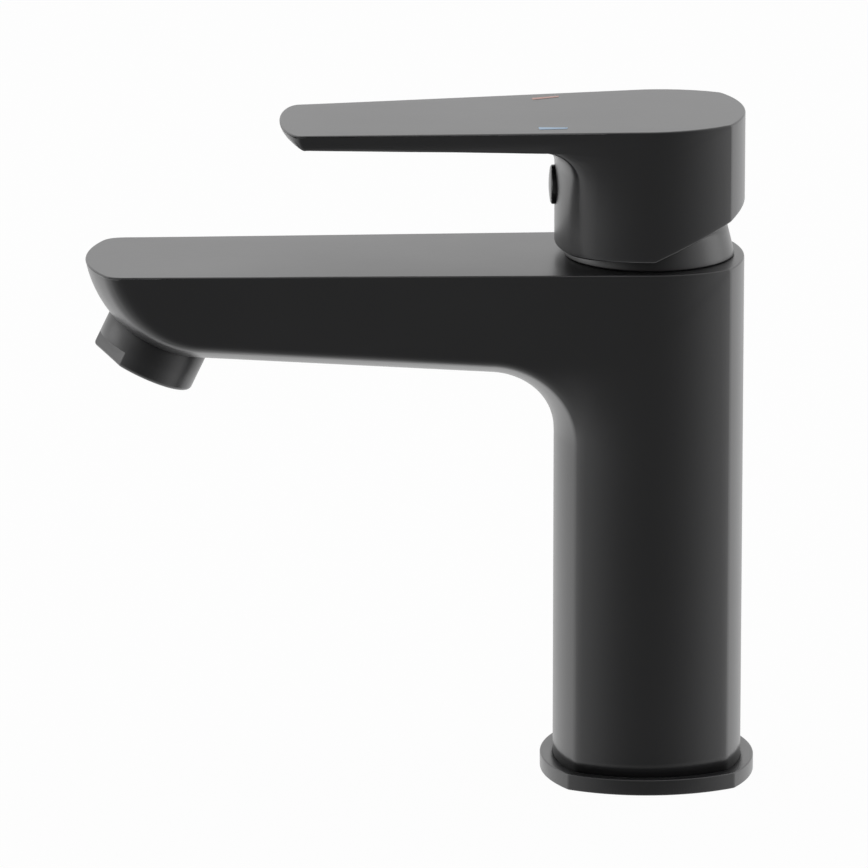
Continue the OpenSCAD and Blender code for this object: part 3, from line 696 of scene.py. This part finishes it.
def body_strip():
    """Front strip of the body, from the nose's rim along the underside and the throat down the column.

    Across, each row is an arc. It stands out by its bow in the middle plane and meets the side at its edge,
    where y = half_y(x, z). Between them y is s times that.
    """
    s = fine_end(np.linspace(0.0, 1.0, ACROSS + 1))[None]
    rows = np.concatenate([nose_rows(s), underside_rows(s), throat_rows(s), column_rows(s)])
    edge = rows[:, -1]
    y = s * body_half_y(edge[:, 0], edge[:, 1])[:, None]
    return np.stack([rows[..., 0], y, rows[..., 1]], axis=-1)


def body_side(edge):
    """Side of the body: a Coons patch between the strip's edge, the top, the rear corner and the foot.

    The patch gives x and z, and y = half_y(x, z). The second result counts the points along the top.
    """
    left = edge[: UP_SIDE + 1][::-1]
    low = edge[UP_SIDE:]
    rim_x = edge[0, 0]
    spout_x = low[NOSE_LOW:NOSE_LOW + SPOUT_CELLS + 1, 0]
    lead_x = lerp(rim_x, spout_x[0], 1.0 - fine_end(np.linspace(1.0, 0.0, NOSE_LOW + 1)))[:-1]
    fan_x = np.linspace(spout_x[-1], CORNER_X, FAN_TOP + 1)[1:]
    top_x = np.concatenate([lead_x, spout_x, fan_x])
    rear_z = np.concatenate([np.linspace(BODY_TOP_Z, FAN_LOW_Z, FAN_REAR + 1)[1:],
                             np.linspace(FAN_LOW_Z, COLUMN_FOOT_Z, COLUMN_CELLS + 1)[1:]])
    top = np.stack([top_x, np.full(len(top_x), BODY_TOP_Z)], axis=-1)
    rear = np.stack([np.full(len(rear_z), CORNER_X), rear_z], axis=-1)
    foot_x = lerp(-CORNER_X, CORNER_X, fine_ends(np.linspace(0.0, 1.0, UP_SIDE + 1)))
    right = np.stack([foot_x, np.full(UP_SIDE + 1, COLUMN_FOOT_Z)], axis=-1)
    flat = coons(low, np.concatenate([top, rear]), left, right)
    grid = np.stack([flat[..., 0], body_half_y(flat[..., 0], flat[..., 1]), flat[..., 1]], axis=-1)
    return grid, len(top_x)


def rear_strip(corner_z, corner_y, bow, top, foot):
    """Bowed rear between the corner and the middle plane: x is the corner's plus an arc of y.

    The heights at the corner keep their shares between the top's height and the foot's, which depend on x.
    """
    s = fine_end(np.linspace(1.0, 0.0, ACROSS + 1))[None]
    x = CORNER_X + crown(s, corner_y, bow)
    share = (corner_z[0] - corner_z)[:, None] / (corner_z[0] - corner_z[-1])
    z = lerp(top(x), foot(x), share)
    return np.stack(np.broadcast_arrays(x, s * corner_y, z), axis=-1)


def round_rear(grids, half_y, radius):
    """Rounds the upright corner edge between the rear strip, given first, and the side."""
    edge = grids[0][:, 0]
    forward = np.tile([-1.0, 0.0], (len(edge), 1))
    push = unit(grids[0][:, LEAD] - edge) + along_side(edge, forward, half_y)
    push[:, 2] = 0.0
    return round_edge(grids, edge, push, np.full(len(edge), radius))


def make_body():
    """Skin of the body's casting, with the cartridge's well and the hoses' chamber as stepped bores.

    The bores are lathed surfaces whose columns follow the directions of the rim's and the foot's points.
    """
    strip = body_strip()
    side, top_count = body_side(strip[:, -1][:, [0, 2]])
    rear = rear_strip(side[top_count - 1:, -1, 2], COLUMN_CORNER_Y, END_BOW,
                      lambda x: np.full_like(x, BODY_TOP_Z), lambda x: np.full_like(x, COLUMN_FOOT_Z))
    edge = strip[:, -1]
    push = unit(strip[:, -1 - LEAD] - edge) + beside(edge, body_half_y)
    push[:, 2] *= smoothstep(BODY_TOP_Z - edge[:, 2], 0.0, RIM_FADE)
    at_nose = smoothstep(edge[:, 2], NOSE_CORNER_LOW_Z, NOSE_CORNER_HIGH_Z)
    strip, side = round_edge([strip, side], edge, push, lerp(BODY_EDGE_R, NOSE_CORNER_R, at_nose))
    rear, side = round_rear([rear, side], body_half_y, BODY_EDGE_R)
    rim, foot = rim_and_foot(strip, side, rear, top_count)
    well = lathe([(MOUTH_R, BODY_TOP_Z), (MOUTH_R, WELL_LEDGE_Z), (WELL_R, WELL_LEDGE_Z),
                  (WELL_R, WELL_FLOOR_Z), (0.0, WELL_FLOOR_Z)], directions(rim))
    chamber = lathe([(SPIGOT_R, COLUMN_FOOT_Z), (SPIGOT_R, SPIGOT_FOOT_Z), (CHAMBER_R, SPIGOT_FOOT_Z),
                     (CHAMBER_R, CHAMBER_TOP_Z), (0.0, CHAMBER_TOP_Z)], directions(foot))
    halves = [strip, side, rear]
    grids = halves + [mirrored(g) for g in halves]
    grids += [ring_rows(rim, well[0], 2), ring_rows(foot, chamber[0], 1), well, chamber]
    body = build("body_skin", grids, MATERIALS["black_paint"], "body")
    round_edges(body, [rim, well[0]])
    even_normals(body)
    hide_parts("body")


def make_inlets():
    """Bosses of the two supply inlets and of the fixing stud, inside the column's hollow.

    Each is lathed: the boss down from the roof, its chamfered foot, and the thread's bore up to its tip.
    """
    roof = CHAMBER_TOP_Z + BOSS_ROOT
    grids = []
    for x, y, foot, boss_r, thread_r, depth in BOSSES:
        profile = [(boss_r, roof), (boss_r, foot + BOSS_CHAMFER), (boss_r - BOSS_CHAMFER, foot),
                   (thread_r + THREAD_CHAMFER, foot), (thread_r, foot + THREAD_CHAMFER),
                   (thread_r, foot + depth), (0.0, foot + depth + DRILL_TIP)]
        grids.append(lathe(profile, turn(64)) + np.array([x, y, 0.0]))
    inlets = build("inlet_bosses", grids, MATERIALS["brass"], "body")
    even_normals(inlets)


# ---------------------------------------------------------------- handle
TIP_DOWN = 10  # cells down the tip
TIP_LEAD = 4  # cells up the tip that give its face's direction
TIP_EDGE_START = 12  # cell across, out of ACROSS, where the tip's lower edge starts to be rounded
UNDER = 30  # cells along the lever's underside
SETTLE_SHARE = 0.3  # share of the underside over which its rows turn straight
BOW_SHARE = 0.5  # share of it over which they take their bow
HUB_FAN_TOP = 16  # cells of the throat that face the top, and the rear
HUB_FAN_REAR = 4
HUB_FAN_SHARE = 0.25  # share of the rear's height that the latter take
HUB_CELLS = 14


def handle_top(x):
    """Height of the top, which falls towards the tip."""
    return HANDLE_TOP_Z + HANDLE_FALL * x


def hub_foot(x):
    """Level in front of the axis, and rising behind it, so that the rear clears the body at full lift."""
    return HUB_FOOT_Z + HUB_CUT_RISE * np.maximum(x, 0.0)


def handle_half_y(x, z):
    """The hub's sides are arcs in plan, the lever's are straight and taper; they blend under the top."""
    arc = HUB_CORNER_Y + crown(np.minimum(np.abs(x), CORNER_X) / CORNER_X, CORNER_X, HUB_SIDE_BOW)
    straight = LEVER_HALF_Y + LEVER_TAPER * x
    share = smoothstep(z, HUB_BLEND_LOW_Z, HUB_BLEND_HIGH_Z) * (x < 0)
    return lerp(arc, straight, share)


def tip_plan(s):
    """Half-elliptic outline of the lever's tip in plan, from its middle to its side.

    At the angle a = 90 s degrees, x is the tip's plus its bow times 1 - cos a, and y is the half width
    times sin a. The results are the places and the inward normals.
    """
    angle = s * math.pi / 2
    half = LEVER_HALF_Y + LEVER_TAPER * (LEVER_TIP_X + LEVER_TIP_BOW)
    x = LEVER_TIP_X + LEVER_TIP_BOW * (1.0 - np.cos(angle))
    place = np.stack([x, half * np.sin(angle)], axis=-1)
    inward = unit(np.stack([np.cos(angle) / LEVER_TIP_BOW, -np.sin(angle) / half], axis=-1))
    return place, inward


def tip_rows(across):
    """The rolled tip: quarter ellipses from the top's outline down and back to the underside."""
    angle = (math.pi / 2) * fine_ends(np.linspace(0.0, 1.0, TIP_DOWN + 1))[:, None]
    place = tip_plan(across)[0]
    x = place[..., 0]
    roll = lerp(TIP_ROLL, TIP_SIDE_ROLL, smoothstep(across, TIP_ROLL_EVEN, 1.0)) * (1.0 - np.cos(angle))
    tip_x = x + roll
    tip_y = place[..., 1] * handle_half_y(tip_x, LEVER_UNDER_Z) / handle_half_y(x, LEVER_UNDER_Z)
    tip_z = lerp(handle_top(x), LEVER_UNDER_Z, np.sin(angle))
    return np.stack(np.broadcast_arrays(tip_x, tip_y, tip_z), axis=-1)


def lever_under_rows(s, tip_end):
    """The underside: rows that take over from the tip's curved last one, turn straight and bow down."""
    t = np.linspace(0.0, 1.0, UNDER + 1)[1:, None]
    row_x = lerp(tip_end[-1, 0], LEVER_THROAT[0], t)
    half = handle_half_y(row_x, LEVER_UNDER_Z)
    settle = smoothstep(t, 0.0, SETTLE_SHARE)
    x = row_x + (tip_end[None, :, 0] - tip_end[-1, 0]) * (1.0 - settle)
    y = lerp(tip_end[None, :, 1] * half / tip_end[-1, 1], s * half, settle)
    bow = LEVER_BOW * smoothstep(t, 0.0, BOW_SHARE)
    z = LEVER_UNDER_Z - bow * crown(s, LEVER_UNDER_HALF_Y, LEVER_BOW) / LEVER_BOW
    return np.stack(np.broadcast_arrays(x, y, z), axis=-1)


def lever_throat_rows(s):
    """Arcs about the throat's centre, from the underside to the hub, whose bow grows on the way."""
    t = np.linspace(0.0, 1.0, HUB_FAN_TOP + HUB_FAN_REAR + 1)[1:, None]
    angle = t * math.pi / 2
    t_bow = smoothstep(t, 0.0, 1.0)
    at_lever = crown(s, LEVER_UNDER_HALF_Y, LEVER_BOW) / LEVER_BOW
    at_hub = crown(s, HUB_CORNER_Y, END_BOW) / END_BOW
    reach = LEVER_THROAT_R + lerp(LEVER_BOW, END_BOW, t_bow) * (1.0 - lerp(at_lever, at_hub, t_bow))
    x = LEVER_THROAT[0] + reach * np.sin(angle)
    z = LEVER_THROAT[1] + reach * np.cos(angle)
    half = handle_half_y(x[:, -1], z[:, -1])[:, None]
    return np.stack(np.broadcast_arrays(x, s * half, z), axis=-1)


def hub_front_rows(s):
    """Level arcs down the hub's front."""
    z = np.linspace(LEVER_THROAT[1], HUB_FOOT_Z, HUB_CELLS + 1)[1:, None]
    x = -CORNER_X - crown(s, HUB_CORNER_Y, END_BOW)
    half = handle_half_y(np.full_like(z, -CORNER_X), z)
    return np.stack(np.broadcast_arrays(x, s * half, z), axis=-1)


def handle_strip():
    """Front strip of the handle: the tip, the lever's underside, the throat and the hub's front."""
    across = np.linspace(0.0, 1.0, ACROSS + 1)[None]
    s = fine_end(across)
    tip = tip_rows(across)
    return np.concatenate([tip, lever_under_rows(s, tip[-1]), lever_throat_rows(s), hub_front_rows(s)])


def handle_side(edge):
    """Side of the handle: a Coons patch between the strip's edge, the top, the rear corner and the foot.

    The patch gives x and z, and y = half_y(x, z). The second result counts the points along the top.
    """
    left = edge[: TIP_DOWN + 1][::-1]
    low = edge[TIP_DOWN:]
    under_x = lerp(edge[0, 0], low[UNDER, 0], np.linspace(0.0, 1.0, UNDER + 1))
    fan_x = np.linspace(low[UNDER, 0], CORNER_X, HUB_FAN_TOP + 1)[1:]
    top_x = np.concatenate([under_x, fan_x])
    rear_top = handle_top(CORNER_X)
    rear_low = hub_foot(CORNER_X)
    rear_mid = lerp(rear_top, rear_low, HUB_FAN_SHARE)
    rear_z = np.concatenate([np.linspace(rear_top, rear_mid, HUB_FAN_REAR + 1)[1:],
                             np.linspace(rear_mid, rear_low, HUB_CELLS + 1)[1:]])
    top = np.stack([top_x, handle_top(top_x)], axis=-1)
    rear = np.stack([np.full(len(rear_z), CORNER_X), rear_z], axis=-1)
    foot_x = lerp(-CORNER_X, CORNER_X, fine_ends(np.linspace(0.0, 1.0, TIP_DOWN + 1)))
    right = np.stack([foot_x, hub_foot(foot_x)], axis=-1)
    flat = coons(low, np.concatenate([top, rear]), left, right)
    grid = np.stack([flat[..., 0], handle_half_y(flat[..., 0], flat[..., 1]), flat[..., 1]], axis=-1)
    return grid, len(top_x)


def lower_edge(strip):
    """Edge from the tip's underside along the lever and down the hub's front corner.

    The results are the edge, and the push and the radius of round_edge at each of its points.
    """
    under = strip[TIP_DOWN:, -1]
    tip = strip[TIP_DOWN, TIP_EDGE_START:-1]
    across = np.linspace(TIP_EDGE_START / ACROSS, 1.0, len(tip), endpoint=False)
    inward = np.pad(tip_plan(across)[1], ((0, 0), (0, 1)))
    upward = unit(strip[TIP_DOWN - TIP_LEAD, TIP_EDGE_START:-1] - tip)
    side_push = unit(strip[TIP_DOWN:, -1 - LEAD] - under) + beside(under, handle_half_y)
    at_hub = 1.0 - smoothstep(under[:, 2], HUB_CORNER_LOW_Z, HUB_CORNER_HIGH_Z)
    push = np.concatenate([inward + upward, side_push])
    radius = np.concatenate([np.linspace(0.0, LEVER_EDGE_R, len(tip)),
                             lerp(LEVER_EDGE_R, HUB_CORNER_R, at_hub)])
    return np.concatenate([tip, under]), push, radius


def hollow_rows(loop, rows=10):
    """The round hollow over the dome, from where it meets the hub's foot up to its pole.

    The foot rises with the distance r from the axis as drop + rise r over the pivot, so r solves
    r^2 + (drop + rise r)^2 = HOLLOW_R^2.
    """
    angle = directions(loop)
    rise = HUB_CUT_RISE * np.maximum(np.cos(angle), 0.0)
    drop = HUB_FOOT_Z - PIVOT_Z
    square = 1.0 + rise**2
    radius = (-drop * rise + np.sqrt((drop * rise) ** 2 + square * (HOLLOW_R**2 - drop**2))) / square
    polar = np.linspace(1.0, 0.0, rows + 1)[:, None] * np.arcsin(radius / HOLLOW_R)[None]
    return ring(HOLLOW_R * np.sin(polar), angle, PIVOT_Z + HOLLOW_R * np.cos(polar))


def make_handle():
    """Skin of the handle's casting: strip, sides, rear, a top of rings towards its middle, and the hollow."""
    strip = handle_strip()
    side, top_count = handle_side(strip[:, -1][:, [0, 2]])
    # the side's points on the strip's edge take the strip's own places, so that the two join
    side[:, 0] = strip[TIP_DOWN:, -1]
    side[0, :] = strip[: TIP_DOWN + 1, -1][::-1]
    rear = rear_strip(side[top_count - 1:, -1, 2], HUB_CORNER_Y, END_BOW, handle_top, hub_foot)
    edge, push, radius = lower_edge(strip)
    strip, side = round_edge([strip, side], edge, push, radius)
    rear, side = round_rear([rear, side], handle_half_y, HUB_REAR_R)
    rim, foot = rim_and_foot(strip, side, rear, top_count)
    hollow = hollow_rows(foot)
    middle = np.array([HANDLE_MID_X, 0.0, handle_top(HANDLE_MID_X)])
    top = ring_rows(rim, np.broadcast_to(middle, rim.shape), 4)
    halves = [strip, side, rear]
    grids = halves + [mirrored(g) for g in halves] + [top, ring_rows(foot, hollow[0], 1), hollow]
    handle = build("handle_skin", grids, MATERIALS["black_paint"], "lever")
    round_edges(handle, [rim, foot, hollow[0]])
    even_normals(handle)
    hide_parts("handle")


def make_marks():
    """Two thin printed strokes on the lever, red on the hot side and blue on the cold side.

    Each is a box section carried straight along the stroke, between its inner and its outer edge.
    """
    t = np.linspace(0.0, 1.0, 9)[:, None]
    lift = np.array([-MARK_SUNK, MARK_PROUD, MARK_PROUD, -MARK_SUNK])
    for name, (sign, near, far) in MARKS.items():
        inner = lerp(np.array(near[0]), np.array(near[1]), t)
        outer = lerp(np.array(far[0]), np.array(far[1]), t)
        rows = np.stack([inner, inner, outer, outer], axis=1)
        stroke = np.stack([rows[..., 0], sign * rows[..., 1], handle_top(rows[..., 0]) + lift], axis=-1)
        ends = [np.stack([stroke[k, :2], stroke[k, [3, 2]]]) for k in (0, -1)]
        stroke = np.concatenate([stroke, stroke[:, :1]], axis=1)
        mark = build(name, [stroke] + ends, MATERIALS[name], "lever")
        mark.data.shade_flat()


# ---------------------------------------------------------------- smaller pieces
def bowed_radius(angles, half, corner):
    """Distance from the axis to an outline of four bowed sides, in each direction.

    Each side is a circle of radius R round a centre c from the axis, so the distance is
    c cos a + sqrt((c cos a)^2 - c^2 + R^2), and the nearest side counts.
    """
    bow = half - corner
    radius = (corner**2 + bow**2) / (2.0 * bow)
    centre = half - radius
    sides = [centre * np.cos(angles - k * math.pi / 2) for k in range(4)]
    return np.min([c + np.sqrt(c**2 - centre**2 + radius**2) for c in sides], axis=0)


def make_flange():
    """Base flange: its section carried round, where the outer two points follow the bowed outline."""
    angles = turn(240)
    outline = bowed_radius(angles, FLANGE_HALF, FLANGE_CORNER)
    rows = lathe([(outline, 0.0), (outline, FLANGE_H), (FLANGE_BORE_R, FLANGE_H), (FLANGE_BORE_R, 0.0),
                  (SEAL_IN_R, 0.0), (SEAL_IN_R, SEAL_H), (SEAL_OUT_R, SEAL_H), (SEAL_OUT_R, 0.0),
                  (outline, 0.0)], angles)
    flange = build("flange_skin", [rows], MATERIALS["black_paint"], "body")
    round_edges(flange, [rows[0], rows[1]], FLANGE_EDGE)
    even_normals(flange)
    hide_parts("base_flange")


def make_dome():
    """Cover dome, a lathed shell: leaning sides under a round top centred on the lever's pivot."""
    z = np.linspace(BODY_TOP_Z + DOME_FOOT_ROUND, DOME_SHOULDER_Z, 8)
    sides = np.stack([DOME_R - (z - BODY_TOP_Z) * DOME_LEAN, z], axis=-1)
    z = np.linspace(DOME_SHOULDER_Z, DOME_TOP_Z, 9)[1:]
    top = np.stack([np.sqrt(DOME_ROUND_R**2 - (z - PIVOT_Z) ** 2), z], axis=-1)
    inner = top[::-1] - np.array([DOME_WALL, 0.0])
    start = (DOME_SPIGOT_IN_R, DOME_FLOOR_Z)
    foot = [start, (DOME_SPIGOT_IN_R, DOME_SPIGOT_Z), (DOME_SPIGOT_R, DOME_SPIGOT_Z),
            (DOME_SPIGOT_R, BODY_TOP_Z), (DOME_R - DOME_FOOT_ROUND, BODY_TOP_Z),
            (DOME_R - 0.4 * DOME_FOOT_ROUND, BODY_TOP_Z + 0.3 * DOME_FOOT_ROUND)]
    profile = np.concatenate([foot, sides, top, inner, [DOME_INSIDE, start]])
    dome = build("dome_skin", [lathe(profile, turn(180))], MATERIALS["black_paint"], "body")
    even_normals(dome)
    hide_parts("cover_dome")


def make_plug():
    """Index plug, a lathed stud with a rounded rim. Its face is a dome that falls with the radius squared."""
    face = PLUG_BACK_X - PLUG_FACE_X
    round_r = PLUG_R - PLUG_ROUND
    round_z = face - 2.0 * PLUG_ROUND
    rim = [(round_r + PLUG_ROUND * math.sin(a), round_z + PLUG_ROUND * math.cos(a))
           for a in np.linspace(math.pi / 2, PLUG_ROUND_END, 5)]
    domed = [(r, face - PLUG_ROUND * (r / PLUG_R) ** 2) for r in np.linspace(PLUG_FACE_R, 0.0, 8)]
    profile = [(0.0, 0.0), (PLUG_R, 0.0)] + rim + domed
    grid = on_axis(lathe(profile, turn(96)), (PLUG_BACK_X, 0.0, PLUG_Z), (-1.0, 0.0, 0.0))
    plug = build("plug_skin", [grid], MATERIALS["black_plastic"], "lever")
    even_normals(plug)
    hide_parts("index_plug")


def make_aerator():
    """Collar of the aerator: its section carried round, with key flats at its end and a rounded lip.

    In the direction a, a flat that faces the direction f lies KEY_FLAT / cos(a - f) from the collar's centre.
    """
    angles = turn(360)
    flats = [KEY_FLAT / np.maximum(np.cos(angles - math.radians(f)), FLAT_REACH) for f in KEY_FLATS]
    flats = np.minimum(COLLAR_R, np.min(flats, axis=0))
    step = COLLAR_OUT - KEY_FLAT_H
    round_out = COLLAR_OUT - COLLAR_ROUND
    lip_back = COLLAR_OUT - LIP_H
    bore_r = LIP_R + LIP_OVERHANG
    profile = [(COLLAR_R, COLLAR_TOP), (COLLAR_R, step), (flats, step), (flats, round_out)]
    profile += [(flats - COLLAR_ROUND * (1.0 - math.cos(a)), round_out + COLLAR_ROUND * math.sin(a))
                for a in np.linspace(*COLLAR_ROUND_TURN, 6)]
    profile += [(LIP_R + LIP_CHAMFER, COLLAR_OUT), (LIP_R, COLLAR_OUT - LIP_CHAMFER), (LIP_R, lip_back),
                (bore_r, lip_back), (bore_r, COLLAR_TOP), (COLLAR_R, COLLAR_TOP)]
    upright = lathe([(radius, -out) for radius, out in profile], angles) + np.array([COLLAR_SHIFT, 0.0, 0.0])
    lean = np.array(Euler((0.0, AERATOR_LEAN, 0.0)).to_matrix())
    grid = upright @ lean.T + np.array([NOSE[0], 0.0, NOSE[1]])
    collar = build("aerator_collar", [grid], MATERIALS["black_paint"], "body")
    even_normals(collar)
    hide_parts("aerator_housing")


# ---------------------------------------------------------------- the whole
def dress_frame():
    """Gives every CAD node the finish of its material slot."""
    for part in frame["record"]["subparts"]:
        node = frame["nodes"][part["node"]]
        node.data.materials.clear()
        node.data.materials.append(MATERIALS[part["material_slot"]])


make_camera()
make_world()
make_floor()
make_lights()
dress_frame()
make_body()
make_inlets()
make_handle()
make_marks()
make_flange()
make_dome()
make_plug()
make_aerator()
